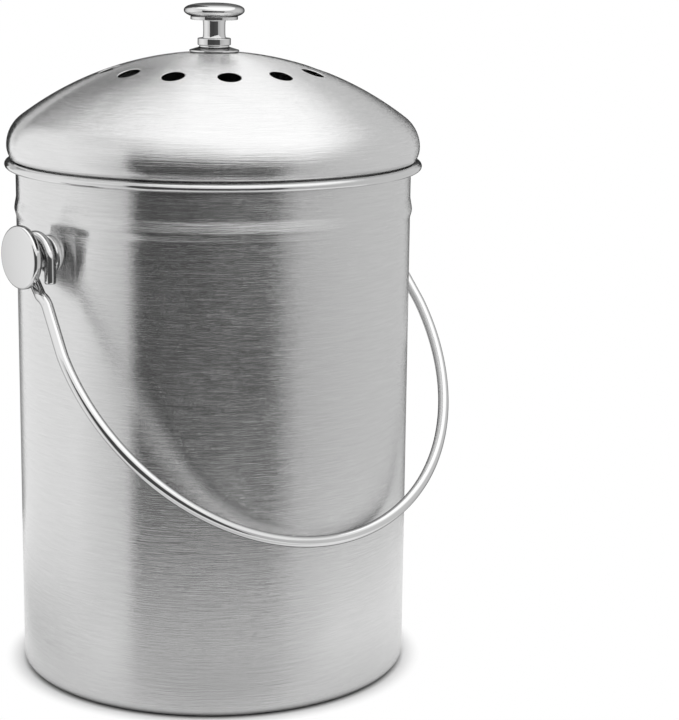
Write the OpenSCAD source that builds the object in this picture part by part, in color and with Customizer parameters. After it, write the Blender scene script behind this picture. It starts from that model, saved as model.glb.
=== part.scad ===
// Kitchen compost bin: a steel bin with a rolled rim, a wire bail that
// swings on two side posts, and a vented lift-off lid that holds filters.
// Millimetres, +Z up. The origin is the centre of the base. The bail turns
// about the X direction and hangs at the -Y side.

/* [Bin] */
// Outer radius of the straight wall
body_r = 85; // [75:1:110]
// Height of the bin, to the top of its rolled rim
body_h = 223.7; // [180:0.1:280]
// Thickness of the bin's steel sheet
sheet_t = 0.6; // [0.4:0.1:1]
// Outer radius of the corner between wall and base
base_corner_r = 4; // [3:0.5:10]
// Width of the flat ring that the bin stands on
foot_ring_w = 10; // [6:1:20]
// Height of the pressed-in centre panel above the foot ring
base_rise = 1.5; // [0.8:0.1:3]
// Width of the sloping step around the centre panel
base_step_w = 2.5; // [1.5:0.5:6]

/* [Rim] */
// How far the rolled rim stands out from the wall
rim_out = 4.7; // [4:0.1:6]
// Height of the rolled rim
rim_d = 4.9; // [4.4:0.1:5.5]
// Angle that the roll's free edge reaches, below the outside
rim_roll_angle = 140; // [100:5:145]

/* [Swaged ring] */
// Distance from the rim's top down to the crest of the ring
ridge_drop = 21.3; // [16:0.1:26]
// How far the crest stands out from the wall
ridge_out = 0.8; // [0.3:0.05:1.5]
// Height of the slope above the crest
ridge_rise = 5; // [3:0.1:6]
// Height of the slope below the crest
ridge_fall = 3.3; // [2:0.1:5]
// Share of a slope that the rounded crest takes up
ridge_round = 0.15; // [0.05:0.01:0.4]

/* [Side posts] */
// Distance from the rim's top down to the post axis
post_drop = 34.3; // [32:0.1:45]
// Radius of the flange that rests on the wall
post_flange_r = 8; // [7:0.1:9]
// Thickness of that flange
post_flange_t = 2.2; // [1.5:0.1:3]
// Radius of the post stem that the bail hangs on
post_stem_r = 5.2; // [4.5:0.1:5.5]
// Length of the stem between the flange and the plate
post_stem_len = 8.5; // [8:0.1:12]
// Radius of the thin plate behind the cap
post_plate_r = 10.2; // [9:0.1:12]
// Thickness of that plate
post_plate_t = 1.2; // [0.8:0.1:2]
// Radius of the polished cap
post_cap_r = 13; // [11.5:0.1:14]
// Thickness of the cap at its rim
post_cap_t = 3.9; // [2.5:0.1:5]
// How far the cap's face is crowned
post_cap_crown = 0.5; // [0.2:0.1:1.5]
// Radius of the rounded edge of the cap
post_cap_edge_r = 1.4; // [0.8:0.1:1.5]

/* [Bail] */
// Diameter of the bail wire
wire_d = 4.7; // [3.5:0.1:5]
// Length of the bail's legs, from the post axis to the half-round bow
leg_len = 47.5; // [40:0.1:60]
// How far the foot of the leg stands out from the eye
leg_out = 4.4; // [3:0.1:5]
// Radius of the eye's centre line
eye_r = 9.5; // [9:0.1:10.5]
// Distance of the eye from the flange face
eye_out = 4.2; // [4:0.1:5.5]
// Length of the eye's free end below the post axis
tail_len = 10.3; // [6:0.1:12]
// Slope of the wire where it leaves the eye
eye_exit = 20; // [10:1:30]
// Inward set of the wire at the foot of the leg
leg_inset = 2.3; // [0:0.1:3]
// Bend radius between the eye and the leg
eye_bend_r = 8; // [5:0.5:10]
// Bend radius of the set between leg and eye
eye_jog_r = 6; // [4:0.5:8]
// Bend radius where the leg meets the bow
leg_bend_r = 40; // [20:1:60]

/* [Lid] */
// Height of the dome above the rim
dome_h = 45.2; // [40:0.1:60]
// How far the dome's widest line stands out beyond the middle of the rim
dome_over = 1.45; // [1.3:0.05:1.8]
// Height of the dome's widest line above the rim
dome_wide_h = 5.5; // [5:0.1:6.5]
// Radius of the shoulder above the widest line
shoulder_r = 15; // [10:0.5:20]
// Radius of the curve below the widest line
curl_r = 9.5; // [8:0.5:11]
// Angle covered by that curve
curl_angle = 24; // [18:1:30]
// Thickness of the dome's sheet
dome_t = 0.6; // [0.4:0.1:0.8]
// Width of the turned-in lip that holds the pan
lip_w = 1; // [0.6:0.1:1.2]
// Thickness of the pan's sheet
pan_t = 0.5; // [0.4:0.1:0.8]
// Depth that the pan reaches into the bin
pan_depth = 20; // [15:0.5:30]
// Outer radius of the pan's lower corner
pan_corner_r = 2.5; // [1.5:0.1:4]
// Width of the pan's floor, around its opening
pan_floor_w = 32.5; // [20:0.5:45]
// Radius of the pan's hemmed edge, in section
hem_r = 0.9; // [0.7:0.1:1.4]
// Number of vent holes
vent_count = 12; // [6:1:12]
// Diameter of a vent hole
vent_d = 9.8; // [6:0.1:10]
// Radius of the circle of vent holes
vent_circle_r = 44.8; // [35:0.1:52]

/* [Filters] */
// Gap between the filter discs and the pan's wall
filter_gap = 8; // [3:0.5:15]
// Thickness of the lower, foam disc
foam_t = 6; // [3:0.5:8]
// Thickness of the upper, charcoal disc
charcoal_t = 8; // [4:0.5:10]

/* [Lid knob] */
// Radius of the conical flange
knob_flange_r = 10.6; // [9:0.1:12]
// Height of the flange's cone
knob_flange_h = 2.3; // [1.5:0.1:3]
// Thickness of the flange at its edge
knob_edge_t = 1; // [0.2:0.1:1.4]
// Radius of the flange's neck
knob_neck_r = 6.4; // [5.5:0.1:7]
// Height of the neck
knob_neck_h = 0.7; // [0.5:0.1:2]
// Radius of the collar at the foot of the stem
knob_collar_r = 7.1; // [6.5:0.1:8]
// Height of the collar
knob_collar_h = 3; // [2:0.1:4]
// Radius of the stem at its waist
knob_stem_r = 4.7; // [4:0.1:5.5]
// How far the stem flares at both ends
knob_flare = 0.35; // [0.1:0.05:0.8]
// Length of the stem between collar and plate
knob_stem_len = 7.8; // [5:0.1:12]
// Radius of the thin plate under the cap
knob_plate_r = 10.1; // [9:0.1:12]
// Thickness of that plate
knob_plate_t = 1.4; // [1:0.1:2.5]
// Radius of the lens-shaped cap
knob_cap_r = 12.95; // [11:0.1:16]
// Height of the cap above its widest line
knob_cap_top = 3.2; // [2.5:0.1:4]
// Height of the cap below its widest line
knob_cap_foot = 2.4; // [2:0.1:3]

/* [Screws] */
// Radius of the screws that hold the posts and the knob
screw_r = 2; // [1.5:0.1:2.2]
// Length of a screw's shank
screw_len = 8; // [6:0.5:9]
// Radius of a screw's head
screw_head_r = 3.8; // [3.3:0.1:4.5]
// Height of a screw's head
screw_head_h = 2.2; // [1.5:0.1:3]
// Across-corners size of the drive recess
drive_d = 2.6; // [2:0.1:3.5]
// Depth of the drive recess
drive_depth = 1.2; // [0.6:0.1:1.4]
// Radius of the washers under the screw heads
washer_r = 6; // [5:0.1:7]
// Thickness of the washers
washer_t = 1; // [0.6:0.1:1.5]
// Radius of the spigots that locate the plates and caps
spigot_r = 3; // [2.4:0.1:3.5]
// Length of a spigot beyond its plate
spigot_len = 1.5; // [1:0.1:1.6]

/* [Clearances] */
// Gap between the lid and the rim
seat_gap = 0.15; // [0.1:0.05:0.4]
// Radial gap between the pan and the bin
pan_gap = 1.9; // [1:0.1:3]
// Gap between the bail and what it rests on
rest_gap = 0.35; // [0.2:0.05:0.5]
// Gap between pieces that are fitted together
fit_gap = 0.05; // [0.03:0.01:0.1]
// Radial gap around a screw in sheet metal
hole_gap = 0.2; // [0.1:0.05:0.4]

/* [Hidden] */
$fn = 64;
eps = 0.01;
// Angle left between the last point of one arc and the first of the next
arc_step = 6;
seam_swell = 0.02;
left = -1;
right = 1;

// Heights
post_z = body_h - post_drop;
ridge_z = body_h - ridge_drop;
lip_z = body_h + seat_gap;
wide_z = body_h + dome_wide_h;
dome_top = body_h + dome_h;
pan_z = lip_z - pan_depth;

// Bin
body_in_r = body_r - sheet_t;
rim_c_r = body_r + rim_out - rim_d / 2;
rim_c_z = body_h - rim_d / 2;

// Posts, measured outwards from the wall along X
post_face = body_r + post_flange_t;
post_stem_end = post_face + post_stem_len;
post_cap_back = post_stem_end + post_plate_t;
// A flat washer touches the curved wall with its edge; the screw head sits on the washer
post_seat = sqrt(body_in_r ^ 2 - washer_r ^ 2) - fit_gap - washer_t;

// Bail
wire_r = wire_d / 2;
eye_x = post_face + eye_out;
foot_x = eye_x + leg_out;
bow_r = foot_x + leg_inset;
bail_drop = leg_len + bow_r;
bail_tilt = asin((body_r + rest_gap + wire_r) / bail_drop);
eye_z = post_stem_r + rest_gap + wire_r - eye_r;

// Dome: the crown arc meets the shoulder arc without a kink
dome_r = rim_c_r + dome_over;
shoulder_c_r = dome_r - shoulder_r;
crown_rise = dome_top - wide_z;
crown_r = (shoulder_c_r ^ 2 + crown_rise ^ 2 - shoulder_r ^ 2) / (2 * (crown_rise - shoulder_r));
crown_angle = atan2(shoulder_c_r, crown_r - crown_rise);
curl_end = [dome_r - curl_r * (1 - cos(curl_angle)), wide_z - curl_r * sin(curl_angle)];
roll_r = (curl_end[1] - lip_z) / (1 - sin(curl_angle));
lip_out_r = curl_end[0] - roll_r * cos(curl_angle);

// Lid insides
pan_r = body_in_r - pan_gap;
pan_opening_r = pan_r - pan_floor_w;
pan_flange_z = lip_z + dome_t;
filter_r = pan_r - pan_t - filter_gap;
foam_z = pan_z + 2 * hem_r;
charcoal_z = foam_z + foam_t;

// Knob
knob_seat = crown_z(washer_r) - dome_t - fit_gap - washer_t;
knob_edge_z = crown_z(knob_flange_r);
knob_neck_z = knob_edge_z + knob_flange_h;
knob_stem_z = knob_neck_z + knob_neck_h;
knob_waist_z = knob_stem_z + knob_collar_h;
knob_plate_z = knob_waist_z + knob_stem_len;
knob_cap_z = knob_plate_z + knob_plate_t;

// Height of the dome's outer surface at a distance r from the axis
function crown_z(r) = dome_top - crown_r + sqrt(crown_r ^ 2 - r ^ 2);

// Points on an oval arc about c, from angle a0 to a1
function oval(c, rx, ry, a0, a1, n) =
    [for (i = [0:n]) let (a = a0 + (a1 - a0) * i / n) c + [rx * cos(a), ry * sin(a)]];

function arc(c, r, a0, a1, n) = oval(c, r, r, a0, a1, n);

function reversed(list) = [for (i = [len(list) - 1:-1:0]) list[i]];

// A tent with a rounded tip: 1 at t = 0, and 0 from t = 1 outwards
function tent(t) =
    abs(t) < 1 ? (sqrt(1 + ridge_round ^ 2) - sqrt(t ^ 2 + ridge_round ^ 2))
        / (sqrt(1 + ridge_round ^ 2) - ridge_round) : 0;

// How far the wall stands out from its straight line at height z
function swage(z) =
    let (slope = z > ridge_z ? ridge_rise : ridge_fall)
    ridge_out * tent((z - ridge_z) / slope);

// The wall through the swaged ring, moved inwards by t
function wall_points(t, n = 32) =
    let (low = ridge_z - ridge_fall, high = ridge_z + ridge_rise)
    [for (i = [0:n]) let (z = low + (high - low) * i / n) [body_r - t + swage(z), z]];

// The lower face of the sheet from the axis to the wall, raised by t
function base_points(t) =
    let (foot_out = body_r - base_corner_r, foot_in = foot_out - foot_ring_w)
    concat(
        [[0, base_rise + t], [foot_in - base_step_w, base_rise + t], [foot_in, t]],
        arc([foot_out, base_corner_r], base_corner_r - t, -90, 0, 10)
    );

// The rolled rim, moved inwards by t: over the top and round to its free edge
function roll_points(t) =
    let (c = [rim_c_r, rim_c_z], r = rim_d / 2 - t)
    concat(
        oval(c, rim_c_r - body_in_r - t, r, 180, 90, 8),
        arc(c, r, 90 - arc_step, -rim_roll_angle, 28)
    );

module bin_body() {
    color("silver")
    difference() {
        rotate_extrude()
        polygon(concat(
            base_points(0), wall_points(0), roll_points(sheet_t),
            reversed(roll_points(0)), reversed(wall_points(sheet_t)), reversed(base_points(sheet_t))
        ));
        translate([0, 0, post_z])
        rotate([0, 90, 0])
        cylinder(r = screw_r + hole_gap, h = 2 * body_r + 4 * sheet_t, center = true);
    }
}

// Puts a shape that is turned about Z, with z = distance from the bin's axis, at a post
module at_post(side) {
    translate([0, 0, post_z])
    rotate([0, side * 90, 0])
    children();
}

// The round wall of the bin, as a solid that pieces are fitted to
module wall_core(r) {
    cylinder(r = r, h = body_h, $fn = 128);
}

module post_flange(side) {
    edge_r = post_flange_t / 2;
    color("gainsboro")
    difference() {
        at_post(side)
        rotate_extrude()
        polygon(concat(
            [[screw_r + hole_gap, body_in_r], [post_flange_r, body_in_r]],
            arc([post_flange_r - edge_r, post_face - edge_r], edge_r, 0, 90, 8),
            [[screw_r + hole_gap, post_face]]
        ));
        wall_core(body_r + fit_gap);
    }
}

module post_stem(side) {
    spigot_end = post_cap_back + spigot_len;
    hole_end = post_seat + screw_len;
    color("gainsboro")
    at_post(side)
    difference() {
        union() {
            translate([0, 0, post_face])
            cylinder(r = post_stem_r, h = post_stem_len);
            translate([0, 0, post_stem_end - eps])
            cylinder(r = spigot_r, h = spigot_end - post_stem_end + eps);
        }
        translate([0, 0, post_face - eps])
        cylinder(r = screw_r + fit_gap, h = hole_end - post_face + fit_gap);
    }
}

module post_plate(side) {
    color("gainsboro")
    at_post(side)
    translate([0, 0, post_stem_end])
    difference() {
        cylinder(r = post_plate_r, h = post_plate_t);
        translate([0, 0, -eps])
        cylinder(r = spigot_r + fit_gap, h = post_plate_t + 2 * eps);
    }
}

module post_cap(side) {
    rim_face = post_cap_back + post_cap_t;
    face_r = post_cap_r - post_cap_edge_r;
    crown = (face_r ^ 2 + post_cap_crown ^ 2) / (2 * post_cap_crown);
    crown_half = asin(face_r / crown);
    bore_r = spigot_r + fit_gap;
    color("gainsboro")
    at_post(side)
    difference() {
        rotate_extrude()
        polygon(concat(
            [[0, post_cap_back]],
            arc([face_r, post_cap_back + post_cap_edge_r], post_cap_edge_r, -90, 0, 8),
            arc([face_r, rim_face - post_cap_edge_r], post_cap_edge_r, 0, 90, 8),
            reversed(arc([0, rim_face + post_cap_crown - crown], crown, 90, 90 - crown_half, 8))
        ));
        translate([0, 0, post_cap_back - eps])
        cylinder(r = bore_r, h = spigot_len + fit_gap + eps);
    }
}

module washer() {
    difference() {
        cylinder(r = washer_r, h = washer_t);
        translate([0, 0, -eps])
        cylinder(r = screw_r + hole_gap, h = washer_t + 2 * eps);
    }
}

module post_washer(side) {
    color("silver")
    at_post(side)
    translate([0, 0, post_seat])
    washer();
}

// A pan-head screw along Z: the head's seat is at z = 0 and the shank points up
module screw() {
    edge = screw_head_h / 2;
    difference() {
        union() {
            rotate_extrude()
            polygon(concat(
                [[0, -screw_head_h]],
                arc([screw_head_r - edge, edge - screw_head_h], edge, -90, 0, 6),
                [[screw_head_r, 0], [0, 0]]
            ));
            cylinder(r = screw_r, h = screw_len);
        }
        for (a = [0, 90])
        rotate([0, 0, a])
        translate([0, 0, drive_depth / 2 - screw_head_h - eps])
        cube([drive_d, drive_d / 3, drive_depth + eps], center = true);
    }
}

module post_screw(side) {
    color("silver")
    at_post(side)
    translate([0, 0, post_seat])
    screw();
}

// Closes the seam between two stretches of wire
module wire_seam() {
    sphere(r = wire_r + seam_swell);
}

// A straight stretch of wire along Z, with what follows at its end
module wire_run(length) {
    cylinder(r = wire_r, h = length);
    wire_seam();
    translate([0, 0, length])
    children();
}

// A bend of the wire from Z towards X, with what follows at its end
module wire_bend(r, angle) {
    wire_seam();
    translate([r, 0, 0]) {
        rotate([90, 0, 180])
        rotate_extrude(angle = angle)
        translate([r, 0])
        circle(r = wire_r);
        rotate([0, angle, 0])
        translate([-r, 0, 0])
        children();
    }
}

// Two opposite bends that set the wire over by side, towards X, within the height along
module wire_jog(along, side, r1, r2) {
    r = r1 + r2;
    straight = sqrt(along ^ 2 + side ^ 2 - 2 * r * side);
    angle = atan2(r, straight) - atan2(r - side, along);
    wire_bend(r1, angle)
    wire_run(straight)
    rotate([0, 0, 180])
    wire_bend(r2, angle)
    rotate([0, 0, 180])
    children();
}

// One leg and eye of the bail, on the +X side, about the post axis
module bail_half() {
    // Seen from the side, the wire leaves the eye along the exit line, which meets the leg's line
    // at the foot; the first number of a pair points to the front, the second up
    exit_angle = 270 - eye_exit;
    exit_dir = [cos(eye_exit), -sin(eye_exit)];
    leg_line = [sin(bail_tilt), -cos(bail_tilt)];
    exit = [eye_r * cos(exit_angle), eye_z + eye_r * sin(exit_angle)];
    reach = cross(exit, leg_line) / cross(leg_line, exit_dir);
    foot = exit + reach * exit_dir;
    foot_angle = 90 - bail_tilt - eye_exit;
    foot_cut = eye_bend_r * tan(foot_angle / 2);

    rotate([-bail_tilt, 0, 0])
    translate([bow_r, 0, -leg_len])
    rotate([0, 0, 180])
    wire_jog(leg_len - norm(foot) - foot_cut, leg_inset, leg_bend_r, eye_bend_r)
    rotate([0, 0, -90])
    wire_bend(eye_bend_r, foot_angle)
    rotate([0, 0, 90])
    wire_jog(reach - foot_cut, leg_out, eye_jog_r, eye_jog_r)
    rotate([0, 0, 90])
    wire_bend(eye_r, exit_angle)
    wire_run(eye_z + tail_len);
}

module bail_handle() {
    color("lightgray")
    translate([0, 0, post_z]) {
        bail_half();
        mirror([1, 0, 0])
        bail_half();
        rotate([-bail_tilt, 0, 0])
        translate([0, 0, -leg_len])
        rotate([-90, 0, 0])
        rotate_extrude(angle = 180)
        translate([bow_r, 0])
        circle(r = wire_r);
    }
}

// The dome's outline from the axis to its lip, moved inwards by t
function dome_points(t) = concat(
    arc([0, dome_top - crown_r], crown_r - t, 90, 90 - crown_angle, 28),
    arc([shoulder_c_r, wide_z], shoulder_r - t, 90 - crown_angle - arc_step, 0, 12),
    arc([dome_r - curl_r, wide_z], curl_r - t, -arc_step, -curl_angle, 4),
    arc([lip_out_r, lip_z + roll_r], roll_r - t, -curl_angle - 2 * arc_step, -90, 5),
    [[lip_out_r - lip_w, lip_z + t]]
);

module lid_dome() {
    vent_tilt = asin(vent_circle_r / crown_r);
    color("silver")
    difference() {
        rotate_extrude()
        polygon(concat(dome_points(0), reversed(dome_points(dome_t))));
        for (i = [0:vent_count - 1])
        rotate([0, 0, i * 360 / vent_count])
        translate([vent_circle_r, 0, crown_z(vent_circle_r)])
        rotate([0, vent_tilt, 0])
        cylinder(r = vent_d / 2, h = 8 * dome_t, center = true);
        translate([0, 0, dome_top])
        cylinder(r = screw_r + hole_gap, h = 8 * dome_t, center = true);
    }
}

module lid_pan() {
    hem_c = [pan_opening_r + hem_r, pan_z + hem_r];
    color("silver")
    rotate_extrude()
    union() {
        polygon(concat(
            [[hem_c[0], pan_z]],
            arc([pan_r - pan_corner_r, pan_z + pan_corner_r], pan_corner_r, -90, 0, 8),
            [[pan_r, pan_flange_z], [lip_out_r, pan_flange_z], [lip_out_r, pan_flange_z + pan_t],
             [pan_r - pan_t, pan_flange_z + pan_t]],
            arc([pan_r - pan_corner_r, pan_z + pan_corner_r], pan_corner_r - pan_t, 0, -90, 8),
            [[hem_c[0], pan_z + pan_t]]
        ));
        translate(hem_c)
        circle(r = hem_r);
    }
}

module filter_disc(z, t) {
    translate([0, 0, z])
    cylinder(r = filter_r, h = t, $fn = 128);
}

module filter_foam() {
    color([0.08, 0.08, 0.08])
    filter_disc(foam_z, foam_t);
}

module filter_charcoal() {
    color([0.15, 0.15, 0.15])
    filter_disc(charcoal_z, charcoal_t);
}

module knob_flange() {
    hole_r = screw_r + hole_gap;
    steps = 6;
    color("gainsboro")
    rotate_extrude()
    polygon(concat(
        [for (i = [0:steps]) let (r = hole_r + (knob_flange_r - hole_r) * i / steps)
            [r, crown_z(r) + fit_gap]],
        [[knob_flange_r, knob_edge_z + knob_edge_t], [knob_neck_r, knob_neck_z],
         [knob_neck_r, knob_stem_z], [hole_r, knob_stem_z]]
    ));
}

module knob_stem() {
    hole_end = knob_seat + screw_len;
    spigot_end = knob_cap_z + spigot_len;
    steps = 10;
    color("gainsboro")
    difference() {
        rotate_extrude()
        polygon(concat(
            [[0, knob_stem_z], [knob_collar_r, knob_stem_z], [knob_collar_r, knob_waist_z]],
            [for (i = [0:steps]) let (u = 2 * i / steps - 1)
                [knob_stem_r + knob_flare * u ^ 4, knob_waist_z + knob_stem_len * i / steps]],
            [[spigot_r, knob_plate_z], [spigot_r, spigot_end], [0, spigot_end]]
        ));
        translate([0, 0, knob_stem_z - eps])
        cylinder(r = screw_r + fit_gap, h = hole_end - knob_stem_z + fit_gap);
    }
}

module knob_plate() {
    color("gainsboro")
    translate([0, 0, knob_plate_z])
    difference() {
        cylinder(r = knob_plate_r, h = knob_plate_t);
        translate([0, 0, -eps])
        cylinder(r = spigot_r + fit_gap, h = knob_plate_t + 2 * eps);
    }
}

module knob_cap() {
    wide = knob_cap_z + knob_cap_foot;
    foot_angle = 53;
    color("gainsboro")
    difference() {
        rotate_extrude()
        polygon(concat(
            [[0, knob_cap_z]],
            oval([0, wide], knob_cap_r, knob_cap_foot / sin(foot_angle), -foot_angle, 0, 8),
            oval([0, wide], knob_cap_r, knob_cap_top, arc_step, 90, 14)
        ));
        translate([0, 0, knob_cap_z - eps])
        cylinder(r = spigot_r + fit_gap, h = spigot_len + fit_gap + eps);
    }
}

module knob_washer() {
    color("silver")
    translate([0, 0, knob_seat])
    washer();
}

module knob_screw() {
    color("silver")
    translate([0, 0, knob_seat])
    screw();
}

bin_body();
post_flange(left);  // left_post_flange
post_stem(left);  // left_post_stem
post_plate(left);  // left_post_plate
post_cap(left);  // left_post_cap
post_washer(left);  // left_post_washer
post_screw(left);  // left_post_screw
post_flange(right);  // right_post_flange
post_stem(right);  // right_post_stem
post_plate(right);  // right_post_plate
post_cap(right);  // right_post_cap
post_washer(right);  // right_post_washer
post_screw(right);  // right_post_screw
bail_handle();
lid_dome();
lid_pan();
filter_foam();
filter_charcoal();
knob_flange();
knob_stem();
knob_plate();
knob_cap();
knob_washer();
knob_screw();
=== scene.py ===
"""Looks of the kitchen compost bin.

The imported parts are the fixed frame. The brushed sheet, the polished fittings, the wire bail
and the lid's filters are built around them, in metres, +Z up."""

import math

import bmesh
import bpy
from mathutils import Matrix, Vector, noise


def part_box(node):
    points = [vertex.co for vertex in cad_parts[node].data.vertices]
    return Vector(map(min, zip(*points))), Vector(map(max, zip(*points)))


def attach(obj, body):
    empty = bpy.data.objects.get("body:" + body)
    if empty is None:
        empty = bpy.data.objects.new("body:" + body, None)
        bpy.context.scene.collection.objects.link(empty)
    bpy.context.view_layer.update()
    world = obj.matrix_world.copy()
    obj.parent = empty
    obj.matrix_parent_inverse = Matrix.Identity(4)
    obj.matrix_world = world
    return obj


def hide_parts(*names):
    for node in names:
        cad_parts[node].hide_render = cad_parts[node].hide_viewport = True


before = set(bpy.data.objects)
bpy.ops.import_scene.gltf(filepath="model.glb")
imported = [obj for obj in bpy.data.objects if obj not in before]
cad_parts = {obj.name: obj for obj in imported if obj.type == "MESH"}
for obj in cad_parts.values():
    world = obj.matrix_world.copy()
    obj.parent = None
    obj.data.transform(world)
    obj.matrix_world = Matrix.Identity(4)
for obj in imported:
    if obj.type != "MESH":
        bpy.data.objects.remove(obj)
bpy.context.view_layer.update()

MM = 0.001
SCENE = bpy.context.scene
SCENE.view_settings.view_transform = "Standard"

# ---------------------------------------------------------------- sizes, in metres
BIN_SEGMENTS = 360
FITTING_SEGMENTS = 160

SHEET_T = 0.6 * MM
RIM_OUT = 4.7 * MM
RIM_D = 4.9 * MM
ROLL_RISE = 1.9 * MM
ROLL_END = -140
BASE_CORNER_R = 4 * MM
FOOT_RING_W = 10 * MM
BASE_RISE = 1.5 * MM
BASE_STEP_W = 2.5 * MM
BASE_STEP_R = 1.2 * MM
RIDGE_DROP = 21.3 * MM
RIDGE_OUT = 0.8 * MM
RIDGE_RISE = 5 * MM
RIDGE_FALL = 3.3 * MM
RIDGE_ROUND = 0.15

RIM_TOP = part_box("bin_body")[1].z
BODY_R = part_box("bin_body")[1].x - RIM_OUT
BODY_IN_R = BODY_R - SHEET_T
RIM_C = (BODY_R + RIM_OUT - RIM_D / 2, RIM_TOP - RIM_D / 2)

POST_Z = sum(corner.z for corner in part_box("right_post_cap")) / 2
POST_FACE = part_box("right_post_flange")[1].x
POST_STEM_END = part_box("right_post_plate")[0].x
POST_CAP_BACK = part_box("right_post_cap")[0].x
POST_CAP_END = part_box("right_post_cap")[1].x
POST_FLANGE_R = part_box("right_post_flange")[1].y
POST_STEM_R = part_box("right_post_stem")[1].y
POST_PLATE_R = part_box("right_post_plate")[1].y
POST_CAP_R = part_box("right_post_cap")[1].y
POST_CAP_CROWN = 0.5 * MM
POST_CAP_EDGE = 1.4 * MM
SPIGOT_R = 3 * MM
SPIGOT_LEN = 1.5 * MM
SCREW_R = 2 * MM
POST_SCREW_LEN = 7 * MM
KNOB_SCREW_LEN = 2 * MM
HOLE_R = 2.2 * MM
FIT_GAP = 0.05 * MM

WIRE_R = 2.35 * MM
WIRE_CHAMFER = 0.35 * MM
LEG_LEN = 47.5 * MM
LEG_OUT = 4.4 * MM
LEG_INSET = 2.3 * MM
LEG_BEND_R = 40 * MM
EYE_R = 9.5 * MM
EYE_X = POST_FACE + 4.2 * MM
EYE_EXIT = math.radians(20)
EYE_BEND_R = 8 * MM
EYE_JOG_R = 6 * MM
TAIL_LEN = 10.3 * MM
REST_GAP = 0.35 * MM
BOW_R = EYE_X + LEG_OUT + LEG_INSET
EYE_Z = POST_STEM_R + REST_GAP + WIRE_R - EYE_R
BAIL_TILT = math.asin((BODY_R + REST_GAP + WIRE_R) / (LEG_LEN + BOW_R))

DOME_TOP = RIM_TOP + 45.2 * MM
DOME_R = RIM_C[0] + 1.45 * MM
DOME_T = 0.6 * MM
WIDE_Z = RIM_TOP + 5.5 * MM
SHOULDER_R = 15 * MM
CURL_R = 9.5 * MM
CURL_ANGLE = 31
LIP_Z = RIM_TOP - 0.3 * MM
LIP_W = 1 * MM
VENT_COUNT = 12
VENT_R = 4.9 * MM
VENT_CIRCLE_R = 44.8 * MM
VENT_EDGE_R = 0.26 * MM
VENT_BAND = 7 * MM
SHOULDER_C_R = DOME_R - SHOULDER_R
CROWN_RISE = DOME_TOP - WIDE_Z
CROWN_R = (SHOULDER_C_R ** 2 + CROWN_RISE ** 2 - SHOULDER_R ** 2) / (2 * (CROWN_RISE - SHOULDER_R))
CROWN_C = DOME_TOP - CROWN_R
CROWN_ANGLE = math.degrees(math.atan2(SHOULDER_C_R, CROWN_R - CROWN_RISE))

PAN_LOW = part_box("lid_pan")[0].z
PAN_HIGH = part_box("lid_pan")[1].z
PAN_T = 0.5 * MM
PAN_R = BODY_IN_R - 1.9 * MM
PAN_OPENING_R = PAN_R - 32.5 * MM
PAN_CORNER_R = 2.5 * MM
PAN_FLANGE_R = 0.8 * MM
HEM_R = 0.9 * MM

KNOB_NECK_R = 6.4 * MM
KNOB_NECK_H = 0.7 * MM
KNOB_EDGE_T = 1 * MM
KNOB_COLLAR_H = 3 * MM
KNOB_WAIST_R = 4.7 * MM
KNOB_FLARE = 0.35 * MM
KNOB_CAP_FOOT = 2.4 * MM
KNOB_FOOT_ANGLE = 40
KNOB_BLUNT = 2.5
KNOB_BOXES = {part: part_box("knob_" + part) for part in ("flange", "stem", "plate", "cap")}


# ---------------------------------------------------------------- outlines, as (radius, height)
def oval(centre, width, height, start, end, steps):
    """Points on an oval arc about the centre, between two angles in degrees."""
    angles = [math.radians(start + (end - start) * i / steps) for i in range(steps + 1)]
    return [(centre[0] + width * math.cos(a), centre[1] + height * math.sin(a)) for a in angles]


def arc(centre, radius, start, end, steps):
    """Points on a round arc, as oval gives them."""
    return oval(centre, radius, radius, start, end, steps)


def rounded(corners, degrees_per_step=12):
    """Points of a line through corners (radius, height, fillet), each rounded by its fillet."""
    points = []
    for i, (r, z, fillet) in enumerate(corners):
        here = Vector((r, z))
        if not fillet:
            points.append((r, z))
            continue
        back = (Vector(corners[i - 1][:2]) - here).normalized()
        ahead = (Vector(corners[(i + 1) % len(corners)][:2]) - here).normalized()
        half = back.angle(ahead) / 2
        centre = here + (back + ahead).normalized() * fillet / math.sin(half)
        start = here + back * fillet / math.tan(half) - centre
        end = here + ahead * fillet / math.tan(half) - centre
        turn = -start.angle_signed(end)
        steps = max(2, round(abs(math.degrees(turn)) / degrees_per_step))
        for k in range(steps + 1):
            spoke = Matrix.Rotation(turn * k / steps, 2) @ start
            points.append(tuple(centre + spoke))
    return points


def supported(points, gap, closed=False):
    """The outline with an extra point close to both ends of each long straight stretch."""
    result = []
    count = len(points) if closed else len(points) - 1
    for i in range(count):
        a, b = Vector(points[i]), Vector(points[(i + 1) % len(points)])
        result.append(tuple(a))
        length = (b - a).length
        if length > 4 * gap:
            result += [tuple(a.lerp(b, gap / length)), tuple(b.lerp(a, gap / length))]
    return result if closed else result + [points[-1]]


# ---------------------------------------------------------------- meshes
def finished(name, bm):
    """Turns a bmesh into an object with outward, smooth faces."""
    bmesh.ops.remove_doubles(bm, verts=bm.verts, dist=0.0005 * MM)
    bmesh.ops.recalc_face_normals(bm, faces=bm.faces)
    for face in bm.faces:
        face.smooth = True
    mesh = bpy.data.meshes.new(name)
    bm.to_mesh(mesh)
    bm.free()
    obj = bpy.data.objects.new(name, mesh)
    SCENE.collection.objects.link(obj)
    return obj


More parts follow.
